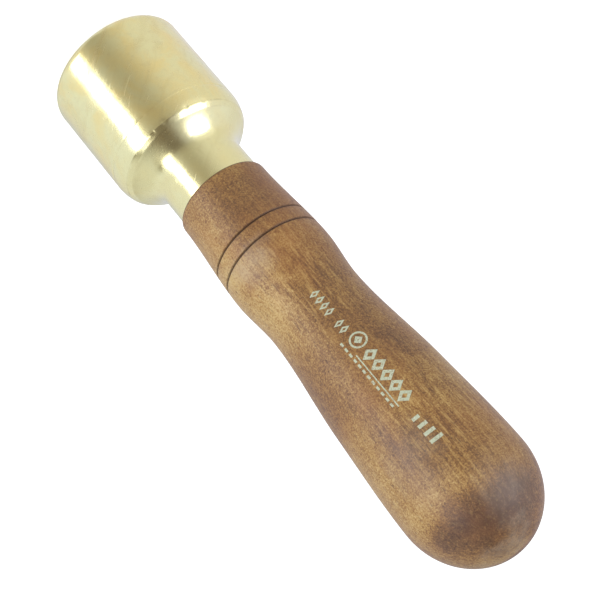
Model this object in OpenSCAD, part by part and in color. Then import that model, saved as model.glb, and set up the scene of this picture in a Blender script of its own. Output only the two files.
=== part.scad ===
// Wood carver's mallet: a turned brass head on a turned hardwood handle, held together by a
// threaded steel stud that is bonded into the handle.
// The mallet stands on the flat end face of its head. The origin is the centre of that face,
// and +Z runs along the axis to the butt of the handle.

/* [Brass head] */
// Diameter of the head
head_d = 40; // [37:0.5:46]
// Length of the straight side, from the flat end face
head_straight = 32.3; // [26:0.1:45]
// Rounding between the end face and the side
face_round = 3.6; // [0.5:0.1:6]
// Radius of the curve that leads from the straight side to the crease
brow_r = 11.4; // [8:0.1:14]
// Slope of that curve where it ends at the crease, measured from the axis
brow_slope = 24; // [12:1:30]
// Slope of the narrow band beyond the crease, measured from the axis
band_slope = 41; // [36:1:46]
// Width of that band
band_w = 1.7; // [1:0.1:2.2]
// Slope of the hollow flank where it leaves the band
flank_slope = 57; // [52:1:62]
// Slope where the flank runs into the cove
cove_slope = 44; // [38:1:48]
// Radius of the cove between the flank and the neck
cove_r = 6.2; // [4:0.1:8]
// Diameter of the neck
neck_d = 24.9; // [22:0.1:26]
// Length of the straight neck that shows in front of the handle
neck_straight = 9.4; // [6:0.1:16]

/* [Handle] */
// Length of the handle
handle_l = 124.3; // [118:0.1:140]
// Diameter at the front end, beside the neck
front_d = 26.8; // [26.5:0.1:29]
// Rounding of the front rim
front_round = 0.8; // [0.3:0.1:1.5]
// Distance of the crest from the front end
crest_at = 27.9; // [26:0.1:32]
// Diameter at the crest
crest_d = 30; // [28:0.1:33]
// Distance of the waist from the front end
waist_at = 42.2; // [38:0.1:48]
// Diameter at the waist
waist_d = 27.7; // [24:0.1:29]
// Distance of the middle of the grip from the front end
grip_at = 74; // [64:0.1:84]
// Diameter at the middle of the grip
grip_d = 33.2; // [30:0.1:36]
// How fast the radius still grows at the middle of the grip
grip_slope = 0.062; // [0.02:0.001:0.1]
// Distance of the widest place from the front end
swell_at = 104.2; // [98:0.1:110]
// Diameter at the widest place
swell_d = 36.4; // [34:0.1:40]

/* [Grooves] */
// Distance of the first groove from the front end
groove_at = 18.9; // [8:0.1:20]
// Distance between the two grooves
groove_gap = 5; // [2:0.1:6]
// Width of a groove at the surface
groove_w = 0.8; // [0.4:0.1:1.6]
// Depth of a groove
groove_depth = 0.5; // [0.2:0.1:1]

/* [Stud and bond] */
// Outer diameter of the thread
stud_d = 10; // [6:0.5:12]
// Distance from one turn of the thread to the next
thread_pitch = 1.5; // [1:0.25:2]
// Depth of the thread
thread_depth = 0.9; // [0.4:0.1:1]
// Length of the stud inside the head
stud_in_head = 28; // [16:1:40]
// Length of the stud inside the handle
stud_in_handle = 52; // [30:1:70]
// Thickness of the bond between the stud and the wood
bond_wall = 0.5; // [0.2:0.1:1.5]
// Thickness of the bond under the end of the stud
bond_floor = 2; // [0.5:0.5:6]
// Length of the drilled hole beyond the end of the thread
pilot_l = 4; // [2:0.5:6]

/* [Hidden] */
$fn = 96;
arc_steps = 12;
curve_steps = 14;
drill_point = 59;
brass = [0.86, 0.82, 0.60];
steel = [0.66, 0.67, 0.69];
epoxy = [0.80, 0.70, 0.45];
wood = [0.58, 0.38, 0.24];

head_r = head_d / 2;
neck_r = neck_d / 2;
crease_z = head_straight + brow_r * sin(brow_slope);
crease_r = head_r - brow_r * (1 - cos(brow_slope));
band_r = crease_r - band_w * sin(band_slope);
band_z = crease_z + band_w * cos(band_slope);
flank_end_r = neck_r + cove_r * (1 - cos(cove_slope));
flank_r = (band_r - flank_end_r) / (cos(cove_slope) - cos(flank_slope));
flank_end_z = band_z + flank_r * (sin(flank_slope) - sin(cove_slope));
cove_z = flank_end_z + cove_r * sin(cove_slope);
joint_z = cove_z + neck_straight;
stud_r = stud_d / 2;
root_r = stud_r - thread_depth;
stud_foot_z = joint_z - stud_in_head;
stud_l = stud_in_head + stud_in_handle;
bore_r = stud_r + bond_wall;
bore_depth = stud_in_handle + bond_floor;

// Each station of the handle is its distance from the front end, its radius and the rate at
// which the radius grows there.
STATIONS = [
    [0, front_d / 2, 0],
    [crest_at, crest_d / 2, 0],
    [waist_at, waist_d / 2, 0],
    [grip_at, grip_d / 2, grip_slope],
    [swell_at, swell_d / 2, 0]
];

// Points of an arc as [radius, height], round the centre [cr, cz]. Angle 0 points away from
// the axis and 90 points up.
function arc(cr, cz, r, from, to) = [
    for (i = [0:arc_steps])
        let (a = from + (to - from) * i / arc_steps)
        [cr + r * cos(a), cz + r * sin(a)]
];

// The points without the first one.
function tail(points) = [for (i = [1:len(points) - 1]) points[i]];

// Radius on the smooth curve between stations a and b, at the part u of the way.
function blend(a, b, u) =
    a[1] * (2 * u ^ 3 - 3 * u ^ 2 + 1)
    + b[1] * (3 * u ^ 2 - 2 * u ^ 3)
    + (b[0] - a[0]) * (a[2] * (u ^ 3 - 2 * u ^ 2 + u) + b[2] * (u ^ 3 - u ^ 2));

// Radius of the handle at the distance d from its front end.
function handle_r(d) =
    let (
        k = max([for (i = [0:len(STATIONS) - 2]) if (d >= STATIONS[i][0]) i]),
        a = STATIONS[k],
        b = STATIONS[k + 1]
    )
    blend(a, b, (d - a[0]) / (b[0] - a[0]));

// Side of the handle from the rounded front rim to the widest place.
function handle_side() = [
    for (k = [0:len(STATIONS) - 2], i = [0:curve_steps - 1])
        let (
            a = STATIONS[k],
            b = STATIONS[k + 1],
            d = a[0] + (b[0] - a[0]) * i / curve_steps
        )
        if (d > front_round) [handle_r(d), d]
];

// Elliptical end of the handle, from the widest place to the middle of the butt.
function butt_curve() = [
    for (i = [0:2 * arc_steps])
        let (a = 90 * i / (2 * arc_steps))
        [swell_d / 2 * cos(a), swell_at + (handle_l - swell_at) * sin(a)]
];

// The outline of the head starts on the axis at the end face and runs up the outside.
function head_outline() = concat(
    [[0, 0]],
    arc(head_r - face_round, face_round, face_round, -90, 0),
    arc(head_r - brow_r, head_straight, brow_r, 0, brow_slope),
    arc(flank_end_r + flank_r * cos(cove_slope), flank_end_z + flank_r * sin(cove_slope),
        flank_r, 180 + flank_slope, 180 + cove_slope),
    tail(arc(neck_r + cove_r, cove_z, cove_r, 180 + cove_slope, 180)),
    [[neck_r, joint_z], [0, joint_z]]
);

// A V-shaped groove round the handle at the distance d from the front end.
module groove(d) {
    r = handle_r(d);
    clear = groove_depth;
    half = groove_w / 2 * (groove_depth + clear) / groove_depth;
    rotate_extrude()
        polygon([[r - groove_depth, d], [r + clear, d - half], [r + clear, d + half]]);
}

// Head, shoulder and neck turned from one bar, with a blind tapped hole for the stud.
module brass_head() {
    color(brass)
    difference() {
        rotate_extrude() polygon(head_outline());
        translate([0, 0, stud_foot_z]) cylinder(h = stud_in_head + 1, r = stud_r);
        translate([0, 0, stud_foot_z - pilot_l]) cylinder(h = pilot_l + 1, r = root_r);
        translate([0, 0, stud_foot_z - pilot_l - root_r / tan(drill_point)])
            cylinder(h = root_r / tan(drill_point), r1 = 0, r2 = root_r);
    }
}

// One turn of the thread, which reaches the full diameter at its middle.
function thread_turn(z) = [
    [root_r, z + thread_pitch * 0.1],
    [stud_r, z + thread_pitch * 0.4],
    [stud_r, z + thread_pitch * 0.6],
    [root_r, z + thread_pitch * 0.9]
];

// Threaded steel stud. Its lower end stands in the head and its upper end in the handle.
module threaded_stud() {
    turns = floor(stud_l / thread_pitch) - 1;
    first = (stud_l - turns * thread_pitch) / 2;
    color(steel)
    translate([0, 0, stud_foot_z])
    rotate_extrude() polygon(concat(
        [[0, 0], [root_r - thread_pitch * 0.1, 0]],
        [for (i = [0:turns - 1]) each thread_turn(first + i * thread_pitch)],
        [[root_r - thread_pitch * 0.1, stud_l], [0, stud_l]]
    ));
}

// Cured epoxy that fills the bore of the handle round and under the end of the stud.
module epoxy_bond() {
    color(epoxy)
    translate([0, 0, joint_z])
    difference() {
        cylinder(h = bore_depth, r = bore_r);
        translate([0, 0, -1]) cylinder(h = stud_in_handle + 1, r = stud_r);
    }
}

// Turned handle with two V-shaped grooves and a blind bore for the stud.
module handle() {
    color(wood)
    translate([0, 0, joint_z])
    difference() {
        rotate_extrude() polygon(concat(
            [[0, 0]],
            arc(handle_r(front_round) - front_round, front_round, front_round, -90, 0),
            handle_side(),
            butt_curve()
        ));
        groove(groove_at);
        groove(groove_at + groove_gap);
        translate([0, 0, -1]) cylinder(h = bore_depth + 1, r = bore_r);
    }
}

brass_head();
threaded_stud();
epoxy_bond();
handle();
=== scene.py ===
from math import cos, pi, radians, sin, sqrt, tan

import bpy
from mathutils import Euler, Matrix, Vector


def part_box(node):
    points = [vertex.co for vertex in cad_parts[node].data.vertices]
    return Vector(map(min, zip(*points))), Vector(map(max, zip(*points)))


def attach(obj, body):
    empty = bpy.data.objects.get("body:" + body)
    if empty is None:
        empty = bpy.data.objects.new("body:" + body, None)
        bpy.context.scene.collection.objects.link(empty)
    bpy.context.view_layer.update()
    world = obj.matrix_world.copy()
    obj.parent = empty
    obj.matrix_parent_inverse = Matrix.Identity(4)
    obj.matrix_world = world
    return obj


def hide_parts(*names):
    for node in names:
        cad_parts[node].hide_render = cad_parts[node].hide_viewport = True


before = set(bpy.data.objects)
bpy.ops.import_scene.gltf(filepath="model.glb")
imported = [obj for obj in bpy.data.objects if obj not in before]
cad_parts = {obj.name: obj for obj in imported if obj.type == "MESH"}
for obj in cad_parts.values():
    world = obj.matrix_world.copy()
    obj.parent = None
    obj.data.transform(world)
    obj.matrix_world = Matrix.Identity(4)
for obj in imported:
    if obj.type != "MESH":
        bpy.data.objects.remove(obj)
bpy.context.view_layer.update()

# The mallet stands on the end face of its head, with its axis on +Z. Everything is in metres.
MM = 0.001

# Outer sizes and joints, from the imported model.
HEAD_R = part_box("brass_head")[1].x
HANDLE_LOW, HANDLE_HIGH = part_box("handle")
STUD_LOW, STUD_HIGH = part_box("threaded_stud")
BOND_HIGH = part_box("epoxy_bond")[1]
JOINT_Z = HANDLE_LOW.z
BUTT_Z = HANDLE_HIGH.z
STUD_R = STUD_HIGH.x
BORE_R = BOND_HIGH.x
BORE_END_Z = BOND_HIGH.z

# Turned brass head. From the end face up: a rounded edge, a straight side, a rounded brow, a
# crease, a narrow band, a hollow flank, a cove and the neck. Slopes are measured from the axis.
FACE_ROUND = 3.6 * MM
STRAIGHT_Z = 32.3 * MM
BROW_R = 11.4 * MM
BROW_SLOPE = radians(24)
BAND_SLOPE = radians(41)
BAND_W = 1.7 * MM
FLANK_SLOPE = radians(57)
COVE_SLOPE = radians(44)
COVE_R = 6.2 * MM
NECK_R = 12.45 * MM
CREASE_Z = STRAIGHT_Z + BROW_R * sin(BROW_SLOPE)
CREASE_R = HEAD_R - BROW_R * (1 - cos(BROW_SLOPE))
BAND_R = CREASE_R - BAND_W * sin(BAND_SLOPE)
BAND_Z = CREASE_Z + BAND_W * cos(BAND_SLOPE)
FLANK_END_R = NECK_R + COVE_R * (1 - cos(COVE_SLOPE))
FLANK_R = (BAND_R - FLANK_END_R) / (cos(COVE_SLOPE) - cos(FLANK_SLOPE))
FLANK_END_Z = BAND_Z + FLANK_R * (sin(FLANK_SLOPE) - sin(COVE_SLOPE))
COVE_Z = FLANK_END_Z + COVE_R * sin(COVE_SLOPE)

# Fine cuts of the head: a scribed line below the brow, the worn lips of the crease, the broken
# edges of the neck and of the hole, and the hole that is drilled for the thread.
SCRIBE_Z = STRAIGHT_Z - 0.4 * MM
SCRIBE_HALF = 0.07 * MM
SCRIBE_DEPTH = 0.04 * MM
CREASE_LIP = 0.18 * MM
CREASE_BOTTOM = (CREASE_R - 0.03 * MM, CREASE_Z - 0.01 * MM)
NECK_CHAMFER = 0.12 * MM
HOLE_CHAMFER = 0.4 * MM
THREAD_DEPTH = 0.9 * MM
ROOT_R = STUD_R - THREAD_DEPTH
PILOT_L = 4 * MM
DRILL_POINT = radians(59)

# Turned handle: each station is its distance from the front end, its radius and the rate at
# which the radius grows there. Past the last one the handle closes as half an ellipse.
STATIONS = [
    (0.0, 13.4 * MM, 0.0),
    (27.9 * MM, 15.0 * MM, 0.0),
    (42.2 * MM, 13.85 * MM, 0.0),
    (74.0 * MM, 16.6 * MM, 0.062),
    (104.2 * MM, HANDLE_HIGH.x, 0.0),
]
SWELL_AT, SWELL_R = STATIONS[-1][:2]
BUTT_L = BUTT_Z - JOINT_Z - SWELL_AT
FRONT_ROUND = 0.8 * MM
GROOVES = (18.9 * MM, 23.9 * MM)
GROOVE_HALF = 0.4 * MM
GROOVE_DEPTH = 0.5 * MM
GROOVE_FLOOR = 0.12 * GROOVE_HALF
GROOVE_CLEAR = 1.2 * GROOVE_HALF

# How finely the turned pieces are divided along their outline and round the axis.
SIDE_STEP = 0.9 * MM
HANDLE_STEP = 1.1 * MM
HEAD_SEGMENTS = 300
HANDLE_SEGMENTS = 260
BUTT_STEPS = 36
SHARP_EDGE = radians(34)
SAME_POINT = 0.002 * MM


# ---------------------------------------------------------------- bench work

def deselect():
    if bpy.context.object and bpy.context.object.mode != "OBJECT":
        bpy.ops.object.mode_set(mode="OBJECT")
    bpy.ops.object.select_all(action="DESELECT")


def arc(cr, cz, r, start, end, steps):
    """Points (radius, height) of an arc. Angle 0 points away from the axis and pi / 2 up."""
    turns = [start + (end - start) * i / steps for i in range(steps + 1)]
    return [(cr + r * cos(a), cz + r * sin(a)) for a in turns]


def evenly(low, high, count):
    """Values at even distances from low up to, and not at, high."""
    return [low + (high - low) * i / count for i in range(count)]


def line(start, end, step):
    """Points from start up to, and not at, end, about a step apart."""
    length = sqrt((end[0] - start[0]) ** 2 + (end[1] - start[1]) ** 2)
    count = max(1, round(length / step))
    return list(zip(evenly(start[0], end[0], count), evenly(start[1], end[1], count)))


def turn_on_lathe(name, outline, segments):
    """Draws the outline point by point and spins it once round the axis."""
    deselect()
    bpy.ops.mesh.primitive_circle_add(vertices=3, radius=MM, location=(0, 0, 0))
    piece = bpy.context.object
    piece.name = name
    bpy.ops.object.mode_set(mode="EDIT")
    bpy.ops.mesh.merge(type="CENTER")
    bpy.ops.transform.translate(value=(outline[0][0], 0, outline[0][1]))
    for (r0, z0), (r1, z1) in zip(outline, outline[1:]):
        bpy.ops.mesh.extrude_region_move(
            TRANSFORM_OT_translate={"value": (r1 - r0, 0, z1 - z0)})
    bpy.ops.mesh.select_all(action="SELECT")
    bpy.ops.mesh.spin(steps=segments, angle=2 * pi, center=(0, 0, 0), axis=(0, 0, 1))
    bpy.ops.mesh.select_all(action="SELECT")
    bpy.ops.mesh.remove_doubles(threshold=SAME_POINT)
    bpy.ops.mesh.normals_make_consistent(inside=False)
    bpy.ops.object.mode_set(mode="OBJECT")
    bpy.ops.object.shade_smooth_by_angle(angle=SHARP_EDGE)
    return piece


# ---------------------------------------------------------------- outlines

def body_outline():
    """The head from the middle of its end face, over the rounded edge and up its side."""
    face = line((0, 0), (HEAD_R - FACE_ROUND, 0), 1.2 * MM)
    edge = arc(HEAD_R - FACE_ROUND, FACE_ROUND, FACE_ROUND, -pi / 2, 0, 16)[:-1]
    side = line((HEAD_R, FACE_ROUND), (HEAD_R, SCRIBE_Z - SCRIBE_HALF), SIDE_STEP)
    scribe = [(HEAD_R, SCRIBE_Z - SCRIBE_HALF), (HEAD_R - SCRIBE_DEPTH, SCRIBE_Z),
              (HEAD_R, SCRIBE_Z + SCRIBE_HALF)]
    return face + edge + side + scribe


def shoulder_outline():
    """The shoulder from the brow to the foot of the neck."""
    brow = arc(HEAD_R - BROW_R, STRAIGHT_Z, BROW_R, 0, BROW_SLOPE * 0.96, 12)
    low_lip = (CREASE_R + CREASE_LIP * sin(BROW_SLOPE), CREASE_Z - CREASE_LIP * cos(BROW_SLOPE))
    high_lip = (CREASE_R - CREASE_LIP * sin(BAND_SLOPE), CREASE_Z + CREASE_LIP * cos(BAND_SLOPE))
    crease = [low_lip, CREASE_BOTTOM]
    band = line(high_lip, (BAND_R, BAND_Z), 0.3 * MM)
    flank = arc(FLANK_END_R + FLANK_R * cos(COVE_SLOPE), FLANK_END_Z + FLANK_R * sin(COVE_SLOPE),
                FLANK_R, pi + FLANK_SLOPE, pi + COVE_SLOPE, 12)[:-1]
    cove = arc(NECK_R + COVE_R, COVE_Z, COVE_R, pi + COVE_SLOPE, pi, 20)
    return brow + crease + band + flank + cove


def neck_outline():
    """The neck, its top and the hole for the stud, down to the tip that the drill leaves."""
    neck = line((NECK_R, COVE_Z), (NECK_R, JOINT_Z), SIDE_STEP)[1:]
    rim = [(NECK_R, JOINT_Z - NECK_CHAMFER), (NECK_R - NECK_CHAMFER, JOINT_Z)]
    mouth = line((STUD_R + HOLE_CHAMFER, JOINT_Z), (STUD_R, JOINT_Z - HOLE_CHAMFER), MM)
    hole = line((STUD_R, JOINT_Z - HOLE_CHAMFER), (STUD_R, STUD_LOW.z), 3 * MM)
    pilot_z = STUD_LOW.z - PILOT_L
    pilot = [(STUD_R, STUD_LOW.z), (ROOT_R, STUD_LOW.z), (ROOT_R, pilot_z)]
    tip = [(0, pilot_z - ROOT_R / tan(DRILL_POINT))]
    return neck + rim + mouth + hole + pilot + tip


def handle_r(d):
    """Radius of the handle, without its grooves, at the distance d from its front end."""
    if d >= SWELL_AT:
        return SWELL_R * sqrt(max(0, 1 - ((d - SWELL_AT) / BUTT_L) ** 2))
    for (d0, r0, rate0), (d1, r1, rate1) in zip(STATIONS, STATIONS[1:]):
        if d <= d1:
            span = d1 - d0
            u = (d - d0) / span
            held = r0 * (2 * u ** 3 - 3 * u ** 2 + 1) + r1 * (3 * u ** 2 - 2 * u ** 3)
            return held + span * (rate0 * (u ** 3 - 2 * u ** 2 + u) + rate1 * (u ** 3 - u ** 2))


def side_places():
    """Distances from the front end at which the side of the handle has its points."""
    places = []
    start = FRONT_ROUND
    for at in GROOVES:
        end = at - GROOVE_CLEAR
        places += evenly(start, end, round((end - start) / HANDLE_STEP))
        places += [end, at - GROOVE_HALF, at - GROOVE_FLOOR, at + GROOVE_FLOOR, at + GROOVE_HALF]
        start = at + GROOVE_CLEAR
    places += evenly(start, SWELL_AT, round((SWELL_AT - start) / HANDLE_STEP))
    return places[1:]


def handle_outline():
    """The handle, from the bottom of its bore out over the front end and up to the butt."""
    front_r = handle_r(FRONT_ROUND) - FRONT_ROUND
    bore = [(0, BORE_END_Z)] + line((BORE_R, BORE_END_Z), (BORE_R, JOINT_Z), 6 * MM)
    front = line((BORE_R, JOINT_Z), (front_r, JOINT_Z), 2 * MM)
    front += arc(front_r, JOINT_Z + FRONT_ROUND, FRONT_ROUND, -pi / 2, 0, 8)
    side = []
    for d in side_places():
        cut = max(GROOVE_DEPTH * (1 - abs(d - at) / GROOVE_HALF) for at in GROOVES)
        side.append((handle_r(d) - max(0, cut), JOINT_Z + d))
    butt = [(SWELL_R * cos(a), BUTT_Z - BUTT_L + BUTT_L * sin(a))
            for a in evenly(0, pi / 2, BUTT_STEPS)]
    return bore + front + side + butt + [(0, BUTT_Z)]


# ---------------------------------------------------------------- shader sums

class Wire:
    """A socket of a node tree that can be used in sums like a number."""

    def __init__(self, tree, socket=None):
        self.tree = tree
        self.socket = socket

    def node(self, kind, settings=(), inputs=(), out=0):
        """Adds a node, with its settings first and its sockets after, and returns an output."""
        made = self.tree.nodes.new(kind)
        settings = dict(settings)
        stops = settings.pop("stops", None)
        for name, value in settings.items():
            setattr(made, name, value)
        if stops:
            ramp = made.color_ramp.elements
            while len(ramp) < len(stops):
                ramp.new(1)
            for element, (place, colour) in zip(ramp, stops):
                element.position = place
                element.color = (*colour, 1)
        for name, value in dict(inputs).items():
            socket = made.inputs[name]
            if isinstance(value, Wire):
                self.tree.links.new(value.socket, socket)
            elif socket.type == "RGBA":
                socket.default_value = (*value, 1)
            else:
                socket.default_value = value
        return Wire(self.tree, made.outputs[out])

    def sum(self, operation, *values):
        """A Math node with that operation on the values."""
        inputs = {i: v for i, v in enumerate(values)}
        return self.node("ShaderNodeMath", {"operation": operation}, inputs)

    def __add__(self, other):
        return self.sum("ADD", self, other)

    def __radd__(self, other):
        return self.sum("ADD", other, self)

    def __sub__(self, other):
        return self.sum("SUBTRACT", self, other)

    def __rsub__(self, other):
        return self.sum("SUBTRACT", other, self)

    def __mul__(self, other):
        return self.sum("MULTIPLY", self, other)

    def __rmul__(self, other):
        return self.sum("MULTIPLY", other, self)

    def __truediv__(self, other):
        return self.sum("DIVIDE", self, other)

    def __pow__(self, other):
        return self.sum("POWER", self, other)

    def size(self):
        """The value without its sign."""
        return self.sum("ABSOLUTE", self)

    def above(self, low, high):
        """0 at low, 1 at high and a smooth step between them. Low may be the greater one."""
        smooth = {"interpolation_type": "SMOOTHSTEP"}
        if low < high:
            return self.node("ShaderNodeMapRange", smooth, {0: self, 1: low, 2: high})
        return self.node("ShaderNodeMapRange", smooth, {0: self, 1: high, 2: low, 3: 1.0, 4: 0.0})

    def near(self, place, reach):
        """1 at place and 0 from reach away."""
        return (self - place).size().above(reach, 0)

    def scaled(self, factors):
        """The vector with each of its parts multiplied by its own factor."""
        return self.node("ShaderNodeVectorMath", {"operation": "MULTIPLY"}, {0: self, 1: factors})

    def parts(self):
        """The vector's x, y and z."""
        split = self.node("ShaderNodeSeparateXYZ", {}, {0: self})
        return [Wire(self.tree, out) for out in split.socket.node.outputs]

    def noise(self, scale, detail=3.0, rough=0.5, stretch=(1, 1, 1), twist=0.0, seed=0.0):
        """Cloudy values round 0.5. Scale is how many clouds fit in a metre."""
        place = self.scaled(tuple(scale * s for s in stretch))
        inputs = {"Vector": place, "W": seed, "Scale": 1.0, "Detail": detail,
                  "Roughness": rough, "Distortion": twist}
        return self.node("ShaderNodeTexNoise", {"noise_dimensions": "4D"}, inputs)

    def blend(self, low, high):
        """Colour low where the value is 0 and colour high where it is 1."""
        settings = {"data_type": "RGBA", "blend_type": "MIX"}
        return self.node("ShaderNodeMix", settings, {0: self, 6: low, 7: high}, out=2)


def new_material(name, **finish):
    """A material with the shader values that are even all over, its shader and its coordinates."""
    material = bpy.data.materials.new(name)
    material.use_nodes = True
    tree = material.node_tree
    shader = tree.nodes["Principled BSDF"]
    for socket, value in finish.items():
        shader.inputs[socket.replace("_", " ")].default_value = value
    place = Wire(tree).node("ShaderNodeTexCoord", out="Object")
    return material, shader, place


def feed(shader, **sockets):
    """Joins values that change over the surface to the shader."""
    for socket, value in sockets.items():
        value.tree.links.new(value.socket, shader.inputs[socket.replace("_", " ")])


def bump(height, distance, under=None):
    """Turns a height from 0 to 1 into a surface relief of that distance in metres."""
    inputs = {"Height": height, "Distance": distance, "Strength": 1.0}
    if under:
        inputs["Normal"] = under
    return height.node("ShaderNodeBump", {}, inputs)


# ---------------------------------------------------------------- brass

BRASS_PLAIN = (0.91, 0.82, 0.40)
BRASS_GOLDEN = (0.955, 0.775, 0.315)
BRASS_DULL = (0.80, 0.675, 0.30)
BRASS_SPOT = (0.76, 0.62, 0.30)
# Colour of the painted shade in the crease.
BRASS_CREASE_SHADE = (0.42, 0.34, 0.15)
# Between these heights the brass goes from the handled head to the fresher shoulder and neck.
HANDLED_Z = 32 * MM
FRESH_Z = 39 * MM


def crease_shade(z, clouds):
    """Painted shade in the crease and, more faintly, along the top of the band, broken by the
    clouds.
    """
    lines = z.near(CREASE_Z, 0.3 * MM) + 0.5 * z.near(BAND_Z, 0.25 * MM)
    return lines * (0.12 + clouds.above(0.45, 0.62))


def turned_brass():
    """Bright yellow brass as it comes off the lathe, a little tarnished and handled, with painted
    shade along the crease.
    """
    material, shader, place = new_material("turned_brass", Metallic=1.0, Anisotropic=0.5,
                                           Anisotropic_Rotation=0.25)
    x, y, z = place.parts()
    radius = (x * x + y * y) ** 0.5
    across = place.node("ShaderNodeCombineXYZ", {}, {0: x * 0.12, 1: y * 0.12, 2: z + radius})
    rings = across.noise(3600, detail=2.0, rough=0.6)
    fine_rings = across.noise(9000, detail=1.0)
    clouds = place.noise(110, detail=4.0, rough=0.6, stretch=(1, 1, 0.7), twist=0.6)
    spots = place.noise(620, detail=3.0, rough=0.65, seed=4.0)
    tilted = place.node("ShaderNodeMapping", {"vector_type": "POINT"},
                        {"Vector": place, "Rotation": (0.5, 0.6, 0.3)})
    wiped = tilted.noise(110, detail=5.0, rough=0.62, stretch=(0.4, 1, 1.6), twist=0.9, seed=9.0)
    scuffs = tilted.noise(1500, detail=2.0, stretch=(0.05, 1, 0.6), twist=0.1, seed=12.0)
    fresh = z.above(HANDLED_Z, FRESH_Z)
    golden = clouds.above(0.38, 0.66) * (1.0 - 0.6 * fresh)
    dull = wiped.above(0.46, 0.74) * (1.0 - 0.4 * fresh)
    colour = golden.blend(BRASS_PLAIN, BRASS_GOLDEN)
    colour = (dull * 0.7).blend(colour, BRASS_DULL)
    colour = (spots.above(0.50, 0.72) * 0.22).blend(colour, BRASS_SPOT)
    # Painted shade along the crease and, fainter, along the top of the band.
    colour = (crease_shade(z, clouds) * 0.45).blend(colour, BRASS_CREASE_SHADE)
    roughness = 0.205 + 0.07 * (rings - 0.5) + 0.10 * dull + 0.14 * (spots - 0.5)
    roughness = roughness + 0.16 * scuffs.above(0.64, 0.72)
    relief = bump(rings, 0.004 * MM)
    relief = bump(fine_rings, 0.0016 * MM, under=relief)
    relief = bump(wiped + 0.5 * clouds + 0.25 * spots, 0.06 * MM, under=relief)
    feed(shader, Base_Color=colour, Roughness=roughness, Normal=relief)
    return material


# ---------------------------------------------------------------- wood

# The stain from its darkest place to its palest, each with its tone from 0 to 1.
STAIN = [
    (0.20, (0.085, 0.040, 0.020)),
    (0.38, (0.180, 0.084, 0.030)),
    (0.52, (0.298, 0.147, 0.041)),
    (0.66, (0.422, 0.244, 0.073)),
    (0.84, (0.560, 0.380, 0.142)),
]
PALE_STREAK = (0.60, 0.38, 0.13)
DARK_STREAK = (0.12, 0.055, 0.020)
OPEN_PORE = (0.08, 0.038, 0.020)
RED_STAIN = (0.345, 0.132, 0.034)
# Grey of the painted sheen.
SHEEN_GREY = (0.47, 0.375, 0.27)
# Burn lines and painted shade in the grooves.
GROOVE_BURN_AND_SHADE = (0.045, 0.021, 0.011)
RIM_DARK = (0.050, 0.026, 0.014)

# Places on the handle. Each is its distance from the front end in mm, its angle round the
# handle, its reach along it in mm, its reach round it in degrees, and its weight.
# Golden places have a weight above 0 and dark ones a weight below 0. The dark places from 115 mm
# on are painted shade round the butt, and the golden one at 125 mm is a painted highlight at its
# tip.
FIGURE_AND_BUTT_SHADING = [
    (28, -45, 8, 50, 0.06),
    (27, -4, 6, 24, -0.05),
    (28, 26, 8, 34, 0.21),
    (34, 8, 16, 34, 0.10),
    (42, 46, 12, 60, 0.09),
    # Painted shade near the tip of the butt.
    (124, 0, 5, 90, -0.12),
    (74, 44, 10, 50, -0.06),
    (34, 55, 34, 44, 0.20),
    (10, 55, 18, 44, 0.10),
    (14, -20, 20, 50, -0.13),
    (64, -30, 26, 46, -0.07),
    (66, -68, 30, 36, 0.13),
    (63, 46, 13, 56, -0.04),
    (86, 0, 12, 18, 0.12),
    (94, 55, 26, 38, 0.18),
    (90, 20, 18, 18, -0.08),
    (94, -55, 26, 34, 0.08),
    (106, 22, 6, 44, 0.08),
    # Painted shade across the butt.
    (117, -2, 9, 78, -0.30),
    (115, -50, 9, 60, -0.05),
    # Painted highlight at the tip of the butt.
    (125, 0, 5, 120, 0.20),
    (52, 178, 26, 60, -0.16),
    (84, 150, 24, 50, 0.14),
    (22, 172, 16, 60, 0.12),
    # Painted shade round the back of the butt.
    (118, 178, 12, 90, -0.24),
]
# Where fine bright and dark lines run along the wood.
COMBED = [
    (38, -5, 26, 62, 0.9),
    (90, -25, 28, 62, 0.9),
    (60, 175, 44, 60, 0.9),
]
# Where a pale grey sheen is painted into the colour, as the lamps' reflection in the lacquer.
PAINTED_SHEEN = [
    (27, 20, 7, 36, 0.34),
    (96, 17, 19, 30, 0.16),
    (113, -36, 12, 34, 0.19),
    (124, 0, 4, 150, 0.30),
]
# Where the stain is redder.
RUDDY = [
    (30, -18, 14, 40, 0.9),
    (70, -10, 24, 30, 0.4),
]
AXIS_GUARD = 1e-8


def placed(place, spots, seed):
    """Sum of soft spots on the handle, each with its own weight, with wandering edges."""
    x, y, z = place.parts()
    radius = (x * x + y * y + AXIS_GUARD) ** 0.5
    drift = place.noise(85, detail=3.0, rough=0.55, seed=seed) - 0.5
    along = z + drift * (14 * MM)
    total = 0.0
    for distance, angle, length, width, weight in spots:
        way = radians(angle)
        facing = (x * sin(way) - y * cos(way)) / radius + drift * 0.5
        spot = along.near(JOINT_Z + distance * MM, length * MM)
        spot = spot * facing.above(cos(radians(width)), 1)
        total = total + weight * spot
    return total


def stain_colour(tone, streaks, pores, lively):
    """Colour of the stained grain. Lively is how strongly the fine lines show."""
    colour = tone.node("ShaderNodeValToRGB", {"stops": STAIN}, {0: tone})
    pale = streaks.above(0.52, 0.66) * (0.06 + 0.42 * lively)
    dark = streaks.above(0.46, 0.32) * (0.15 + 0.35 * lively)
    colour = pale.blend(colour, PALE_STREAK)
    colour = dark.blend(colour, DARK_STREAK)
    return (pores.above(0.40, 0.27) * 0.6).blend(colour, OPEN_PORE)


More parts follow.
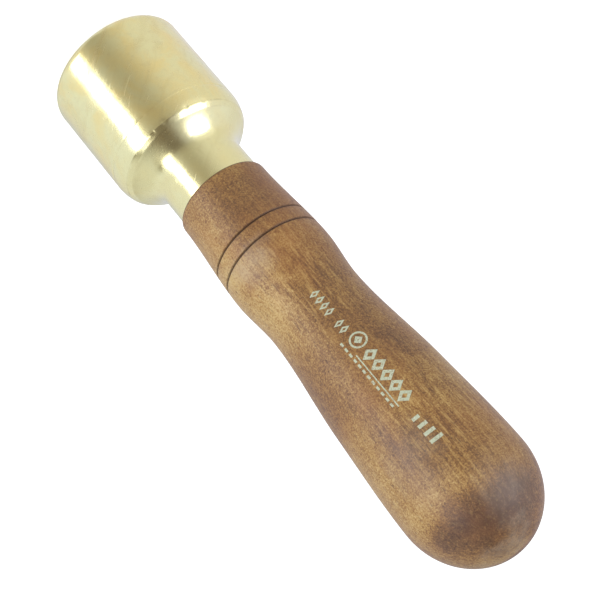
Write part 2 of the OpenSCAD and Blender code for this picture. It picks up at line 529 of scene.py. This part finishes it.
def ruddy_and_sheen_colour(place, colour, broad):
    """The colour with its redder places and with painted grey sheen where the lamps reflect in the
    lacquer.
    """
    ruddy = place.noise(48, detail=3.0, rough=0.6, stretch=(1, 1, 0.5), seed=51.0)
    ruddy = ruddy.above(0.46, 0.66) + placed(place, RUDDY, 61.0)
    # Painted grey sheen where the lamps reflect in the lacquer.
    sheen_weight = placed(place, PAINTED_SHEEN, 41.0) * (1.0 + 2.4 * (broad - 0.5))
    colour = (ruddy * 0.30).blend(colour, RED_STAIN)
    return sheen_weight.blend(colour, SHEEN_GREY)


def cut_colour(z, colour):
    """The colour darkened in the grooves, as burn lines with painted shade, and on the front edge
    where the wood meets the brass.
    """
    groove = sum((z.near(JOINT_Z + at, 1.5 * GROOVE_HALF) for at in GROOVES), 0.0)
    rim = z.above(JOINT_Z + 0.9 * MM, JOINT_Z + 0.1 * MM)
    # Grooves: dark burn lines with painted shade in the recess.
    colour = (groove * 0.85).blend(colour, GROOVE_BURN_AND_SHADE)
    # Darker on the rounded front edge, where the wood meets the brass.
    return (rim * 0.8).blend(colour, RIM_DARK)


def stained_wood():
    """Dense fine-pored hardwood with a reddish-brown stain under thin satin lacquer."""
    material, shader, place = new_material("stained_wood", Coat_Roughness=0.42, Coat_IOR=1.4,
                                           Specular_IOR_Level=0.35)
    cloud = place.noise(60, detail=4.0, rough=0.55, stretch=(1, 1, 0.6), seed=2.0)
    streaks = place.noise(1500, detail=3.0, rough=0.6, stretch=(1, 1, 0.08), seed=1.0)
    broad = place.noise(430, detail=3.0, rough=0.6, stretch=(1, 1, 0.10), twist=0.2, seed=3.0)
    flecks = place.noise(2300, detail=2.0, rough=0.6, twist=0.3, seed=5.0)
    mottle = place.noise(900, detail=3.0, rough=0.6, stretch=(1, 1, 0.8), twist=0.5, seed=8.0)
    pores = place.noise(2600, detail=2.0, rough=0.5, stretch=(1, 1, 0.16), seed=6.0)
    lively = 0.15 + placed(place, COMBED, 21.0)
    tone = 0.5 + 0.42 * (cloud - 0.5) + placed(place, FIGURE_AND_BUTT_SHADING, 11.0)
    tone = tone + (0.04 + 0.34 * lively) * (broad - 0.5) + 0.3 * lively * (streaks - 0.5)
    tone = tone + (0.35 + tone) * (flecks - 0.5) + 0.34 * (mottle - 0.5)
    colour = stain_colour(tone, streaks, pores, lively)
    colour = ruddy_and_sheen_colour(place, colour, broad)
    colour = cut_colour(place.parts()[2], colour)
    roughness = 0.50 + 0.20 * (flecks - 0.5) + 0.1 * (broad - 0.5)
    coat = 0.33 + 1.1 * (flecks - 0.5) + 0.5 * (mottle - 0.5)
    relief = bump(pores.above(0.27, 0.45), 0.03 * MM)
    relief = bump(flecks + 0.7 * mottle + 0.4 * streaks, 0.06 * MM, under=relief)
    feed(shader, Base_Color=colour, Roughness=roughness, Coat_Weight=coat, Normal=relief)
    return material


# ---------------------------------------------------------------- other finishes

STEEL_BRIGHT = (0.56, 0.57, 0.60)
STEEL_STAINED = (0.42, 0.43, 0.44)
EPOXY_DEEP = (0.50, 0.30, 0.10)
EPOXY_CLEAR = (0.66, 0.46, 0.20)
WOOD_DUST = (0.24, 0.14, 0.06)
INK_GREEN = (0.50, 0.53, 0.36)
INK_PALE = (0.60, 0.62, 0.44)
INK_WORN = (0.30, 0.22, 0.12)


def plain_steel():
    """Zinc-plated stud steel, with the marks of the thread die."""
    material, shader, place = new_material("stud_steel", Metallic=1.0)
    marks = place.noise(1800, detail=2.0, stretch=(0.2, 0.2, 1.0))
    stains = place.noise(180, detail=4.0, seed=3.0)
    colour = stains.above(0.45, 0.7).blend(STEEL_BRIGHT, STEEL_STAINED)
    feed(shader, Base_Color=colour, Roughness=0.28 + 0.2 * marks, Normal=bump(marks, 0.01 * MM))
    return material


def cured_epoxy():
    """Amber epoxy with small bubbles and a little wood dust in it."""
    material, shader, place = new_material("cured_epoxy", IOR=1.5)
    cloud = place.noise(320, detail=4.0, rough=0.6)
    bubbles = place.node("ShaderNodeTexVoronoi", {}, {"Vector": place, "Scale": 900.0})
    dust = bubbles.above(0.14, 0.05)
    colour = cloud.above(0.35, 0.7).blend(EPOXY_DEEP, EPOXY_CLEAR)
    colour = (dust * 0.6).blend(colour, WOOD_DUST)
    feed(shader, Base_Color=colour, Roughness=0.25 + 0.3 * dust, Normal=bump(dust, 0.03 * MM))
    return material


def printed_ink():
    """Pale grey-green printing ink, thin enough for the wood to show through in places."""
    material, shader, place = new_material("printed_ink")
    specks = place.noise(2600, detail=3.0, rough=0.7, seed=31.0)
    wear = place.noise(420, detail=3.0, rough=0.6, seed=32.0)
    thin = (specks + 0.4 * wear).above(0.66, 0.86)
    colour = wear.above(0.35, 0.65).blend(INK_GREEN, INK_PALE)
    colour = (thin * 0.75).blend(colour, INK_WORN)
    feed(shader, Base_Color=colour, Roughness=0.5 + 0.3 * (specks - 0.5),
         Normal=bump(specks, 0.01 * MM))
    return material


# ---------------------------------------------------------------- head and handle

# Knocks on the brass: height in mm, angle round the head, reach in mm and depth in mm.
KNOCKS = [
    (36.8, -24, 0.9, 0.16),
    (36.6, -2, 1.0, 0.13),
    (36.9, 9, 0.7, 0.12),
    (38.6, 3, 0.8, 0.08),
    (36.7, -41, 0.8, 0.10),
    (36.8, 47, 0.8, 0.12),
    (46.5, -13, 0.8, 0.06),
    (31.4, 7, 0.9, 0.05),
    (15.0, -38, 1.2, 0.05),
    (2.2, 30, 1.1, 0.10),
    (1.4, -55, 1.0, 0.10),
    (36.7, 118, 1.0, 0.14),
    (36.9, -142, 0.9, 0.13),
    (1.9, 160, 1.2, 0.12),
    (20.5, 171, 1.3, 0.06),
]


def direction(azimuth, elevation):
    """A way out from the mallet. Azimuth 0 is towards the front and 90 degrees towards +X."""
    a = radians(azimuth)
    e = radians(elevation)
    return Vector((sin(a) * cos(e), -cos(a) * cos(e), sin(e)))


def head_r(z):
    """Radius of the head at the height z, near enough to find the closest point of the mesh."""
    if z < FACE_ROUND:
        return HEAD_R - FACE_ROUND + sqrt(FACE_ROUND ** 2 - (FACE_ROUND - z) ** 2)
    if z < STRAIGHT_Z:
        return HEAD_R
    if z < CREASE_Z:
        return HEAD_R - BROW_R + sqrt(BROW_R ** 2 - (z - STRAIGHT_Z) ** 2)
    return max(NECK_R, CREASE_R - (z - CREASE_Z) * tan(BAND_SLOPE))


def knock(piece, z, angle, reach, depth):
    """Pushes the metal in a little where something has hit it."""
    out = direction(angle, 0)
    spot = out * head_r(z) + Vector((0, 0, z))
    nearest = min(piece.data.vertices, key=lambda v: (v.co - spot).length_squared)
    nearest.select = True
    bpy.ops.object.mode_set(mode="EDIT")
    bpy.ops.transform.translate(value=-depth * out, use_proportional_edit=True,
                                proportional_edit_falloff="SMOOTH", proportional_size=reach,
                                use_proportional_connected=True)
    bpy.ops.mesh.select_all(action="DESELECT")
    bpy.ops.object.mode_set(mode="OBJECT")


def make_head():
    """The brass head, shoulder and neck in one piece, with its knocks."""
    outline = body_outline() + shoulder_outline() + neck_outline()
    head = turn_on_lathe("turned_head", outline, HEAD_SEGMENTS)
    bpy.ops.object.mode_set(mode="EDIT")
    bpy.ops.mesh.select_all(action="DESELECT")
    bpy.ops.mesh.select_mode(type="VERT")
    bpy.ops.object.mode_set(mode="OBJECT")
    for z, angle, reach, depth in KNOCKS:
        knock(head, z * MM, angle, reach * MM, depth * MM)
    head.data.materials.append(turned_brass())
    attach(head, "root")
    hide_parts("brass_head")


def make_handle():
    """The wooden handle with its bore and its two grooves."""
    handle = turn_on_lathe("turned_handle", handle_outline(), HANDLE_SEGMENTS)
    handle.data.materials.append(stained_wood())
    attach(handle, "root")
    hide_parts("handle")
    return handle


# ---------------------------------------------------------------- printed marks
# The marks are drawn on a flat sheet in front of the handle. Along is the distance from the
# front end, and over is the offset from the middle of the front towards -X. Their places,
# lengths and strokes are in mm.

SHEET_Y = -30 * MM
RING_AT = 63.0
RING_OVER = 3.1
INK_LIFT = 0.03 * MM
INK_THICK = 0.06 * MM


def start_mark(make, along, over, **size):
    """Adds a flat primitive to the sheet, all selected, at its place."""
    make(location=(-over * MM, SHEET_Y, JOINT_Z + along * MM), rotation=(pi / 2, 0, 0), **size)


def bar(along, over, length, height, cuts=1):
    """A filled bar, cut across so that it can follow the curve of the handle."""
    start_mark(bpy.ops.mesh.primitive_plane_add, along, over, size=MM)
    bpy.ops.transform.resize(value=(height, 1, length))
    bpy.ops.mesh.subdivide(number_cuts=cuts)
    bpy.ops.mesh.select_all(action="DESELECT")


def loop_mark(along, over, width, height, sides, stroke):
    """An open shape with that many sides, drawn with a stroke of even width."""
    start_mark(bpy.ops.mesh.primitive_circle_add, along, over, vertices=sides,
               radius=MM / 2, fill_type="NGON")
    bpy.ops.transform.resize(value=(height, 1, width))
    bpy.ops.mesh.inset(thickness=stroke * MM, depth=0)
    bpy.ops.mesh.delete(type="FACE")


def draw_marks():
    """Small diamonds, a ring round a diamond, bold diamonds, a rule, a row of dashes and bars."""
    for i in (0, 1, 2, 3, 5, 6):
        loop_mark(along=45.4 + 2.15 * i, over=2.1, width=1.6, height=3.2, sides=4, stroke=0.42)
    loop_mark(RING_AT, RING_OVER, width=4.7, height=4.7, sides=24, stroke=0.5)
    loop_mark(RING_AT, RING_OVER, width=2.5, height=2.5, sides=4, stroke=0.75)
    for i in range(5):
        loop_mark(along=68.2 + 3.55 * i, over=3.0, width=3.4, height=4.4, sides=4, stroke=0.8)
    bar(along=74.9, over=0.30, length=17.6, height=0.32, cuts=15)
    for i in range(12):
        bar(along=61.4 + 1.9 * i, over=-0.75, length=1.15, height=0.6)
    for i in range(4):
        tall = 2.0 + 0.5 * i
        bar(along=88.7 + 2.4 * i, over=0.6 + tall / 2, length=1.0, height=tall)
    bpy.ops.mesh.select_all(action="SELECT")
    bpy.ops.mesh.subdivide(number_cuts=1)


def press_on(marks, handle):
    """Moves the flat marks straight back onto the curve of the handle."""
    wrap = marks.modifiers.new("wrap", "SHRINKWRAP")
    wrap.target = handle
    wrap.wrap_method = "PROJECT"
    wrap.wrap_mode = "ABOVE_SURFACE"
    wrap.use_project_x = False
    wrap.use_project_y = True
    wrap.use_positive_direction = True
    wrap.offset = INK_LIFT
    bpy.ops.object.modifier_apply(modifier="wrap")


def thicken(marks):
    """Gives the ink its thickness."""
    ink = marks.modifiers.new("ink", "SOLIDIFY")
    ink.thickness = INK_THICK
    ink.offset = -1
    bpy.ops.object.modifier_apply(modifier="ink")
    bpy.ops.object.mode_set(mode="EDIT")
    bpy.ops.mesh.select_all(action="SELECT")
    bpy.ops.mesh.normals_make_consistent(inside=False)
    bpy.ops.object.mode_set(mode="OBJECT")


def make_marks(handle):
    """Plain printed ornament on the front of the handle."""
    deselect()
    bpy.ops.mesh.primitive_plane_add(size=MM, location=(0, SHEET_Y, JOINT_Z))
    marks = bpy.context.object
    marks.name = "printed_marks"
    bpy.ops.object.transform_apply()
    bpy.ops.object.mode_set(mode="EDIT")
    bpy.ops.mesh.select_mode(type="VERT")
    bpy.ops.mesh.delete(type="VERT")
    draw_marks()
    bpy.ops.object.mode_set(mode="OBJECT")
    press_on(marks, handle)
    thicken(marks)
    marks.data.materials.append(printed_ink())
    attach(marks, "root")


def finish_inner_parts():
    """Finishes for the stud and the bond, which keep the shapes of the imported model."""
    for name, material in (("threaded_stud", plain_steel()), ("epoxy_bond", cured_epoxy())):
        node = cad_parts[name]
        node.data.materials.clear()
        node.data.materials.append(material)


# ---------------------------------------------------------------- camera and room

CAMERA_AT = Vector((0, -395.82, 279.26)) * MM
CAMERA_AIM = Vector((1.67, 0, 92.59)) * MM
CAMERA_ROLL = radians(140.305)
LENS_MM = 102
SENSOR_MM = 36
LAMP_AIM = Vector((0, 0, 60 * MM))
COOL = (0.96, 1.0, 1.2)

WHITE = (1.0, 1.0, 1.0)
FLOOR_GREY = (0.93, 0.93, 0.93)
FLOOR_PALE = (0.95, 0.95, 0.95)
WALL_LEFT = (0.78, 0.80, 0.90)
WALL_LEFT_BEHIND = (0.765, 0.80, 1.00)
WALL_LEFT_HIGH = (0.84, 0.90, 1.20)
WALL_RIGHT = (0.84, 0.92, 1.17)
CEILING = (0.53, 0.56, 0.64)
CEILING_RIGHT = (0.74, 0.79, 0.93)
DIM_FRONT = (0.43, 0.42, 0.42)
DIM_OVERHEAD = (0.185, 0.165, 0.16)
LAMP_FRAME = (0.28, 0.27, 0.24)
FILL_LEFT = (0.57, 0.585, 0.55)
FILL_RIGHT = (0.61, 0.625, 0.58)
LEVEL_GUARD = 0.0001


def set_camera():
    data = bpy.data.cameras.new("camera")
    data.lens = LENS_MM
    data.sensor_width = SENSOR_MM
    data.clip_start = 10 * MM
    camera = bpy.data.objects.new("camera", data)
    bpy.context.scene.collection.objects.link(camera)
    camera.location = CAMERA_AT
    look = (CAMERA_AIM - CAMERA_AT).to_track_quat("-Z", "Y").to_matrix()
    roll = Euler((0, 0, CAMERA_ROLL)).to_matrix()
    camera.rotation_euler = (look @ roll).to_euler()
    bpy.context.scene.camera = camera


def softbox(name, azimuth, elevation, distance, width, height, glow, shape, upright=False):
    """A flat lamp that faces the mallet. Glow is how bright its face looks."""
    data = bpy.data.lights.new(name, "AREA")
    data.shape = shape
    data.color = COOL
    data.size = width
    data.size_y = height
    data.energy = glow * width * height * pi
    lamp = bpy.data.objects.new(name, data)
    bpy.context.scene.collection.objects.link(lamp)
    way = direction(azimuth, elevation)
    lamp.location = way * distance + LAMP_AIM
    facing = direction(azimuth, 0) if upright else way
    lamp.rotation_euler = facing.to_track_quat("Z", "Y").to_euler()
    lamp.visible_camera = False


def light_room():
    softbox("strip_lamp", azimuth=43.5, elevation=-8, distance=1.0, width=0.465, height=2.0,
            glow=2.85, shape="RECTANGLE", upright=True)
    softbox("key_softbox", azimuth=-64, elevation=42, distance=1.0, width=0.74, height=0.76,
            glow=1.85, shape="ELLIPSE")
    softbox("key_halo", azimuth=-60, elevation=16, distance=1.02, width=1.1, height=0.80,
            glow=0.12, shape="ELLIPSE")


def make_floor():
    """A pale floor that is seen but doesn't colour, shade or mirror in the mallet."""
    deselect()
    bpy.ops.mesh.primitive_plane_add(size=12, location=(0, 0, 0))
    floor = bpy.context.object
    floor.name = "floor"
    material, shader, place = new_material("pale_floor", Roughness=0.9, Emission_Strength=0.55,
                                           Emission_Color=(*WHITE, 1.0))
    shade = place.noise(3, detail=2.0)
    feed(shader, Base_Color=shade.blend(FLOOR_GREY, FLOOR_PALE))
    floor.data.materials.append(material)
    floor.visible_glossy = False
    floor.visible_shadow = False
    floor.visible_diffuse = False


def wall_colour(x, up, ahead, right):
    """The pale walls and ceiling. Ahead is 1 towards the front, and right is 1 towards +X."""
    behind = ahead.above(0.2, -0.9)
    left_side = up.blend(behind.blend(WALL_LEFT, WALL_LEFT_BEHIND), WALL_LEFT_HIGH)
    ceiling = x.above(0.32, 0.70).blend(CEILING, CEILING_RIGHT)
    right_side = (0.75 * behind + up).blend(WALL_RIGHT, ceiling)
    return right.blend(left_side, right_side)


def dim_places(x, z, up, ahead):
    """How dim it is, from 0 to 1, straight in front of the mallet and in a strip overhead."""
    strip = ((x - 0.08).size() / (0.60 - 0.34 * z)).above(1.75, 0.2)
    front = ahead.sum("MAXIMUM", ahead, 0.0)
    return up * strip + (1.0 - up) * front ** 4.0


def make_room():
    """Pale walls all round, a white one for the camera and an even one for soft light."""
    world = bpy.data.worlds.new("studio")
    bpy.context.scene.world = world
    world.use_nodes = True
    tree = world.node_tree
    sky = tree.nodes["Background"]
    way = Wire(tree).node("ShaderNodeTexCoord", out="Generated")
    x, y, z = way.parts()
    level = (x * x + y * y + LEVEL_GUARD) ** 0.5
    ahead = y / level * -1.0
    side = x / level
    right = side.above(-0.5, 0.5)
    up = z.above(0.05, 0.62)
    dim = z.above(-0.1, 0.8).blend(DIM_FRONT, DIM_OVERHEAD)
    colour = dim_places(x, z, up, ahead).blend(wall_colour(x, up, ahead, right), dim)
    lamp_frame = side.near(0.925, 0.08) * ahead.above(0.0, 0.2) * z.near(0.48, 0.52)
    colour = lamp_frame.blend(colour, LAMP_FRAME)
    seen = way.node("ShaderNodeLightPath", out="Is Camera Ray")
    soft = way.node("ShaderNodeLightPath", out="Is Diffuse Ray")
    colour = soft.blend(colour, right.blend(FILL_LEFT, FILL_RIGHT))
    colour = seen.blend(colour, WHITE)
    tree.links.new(colour.socket, sky.inputs["Color"])
    sky.inputs["Strength"].default_value = 1.0


def main():
    set_camera()
    make_room()
    make_floor()
    light_room()
    make_head()
    make_marks(make_handle())
    finish_inner_parts()
    deselect()
    bpy.context.scene.view_settings.view_transform = "Standard"
    bpy.context.scene.view_settings.look = "None"


main()
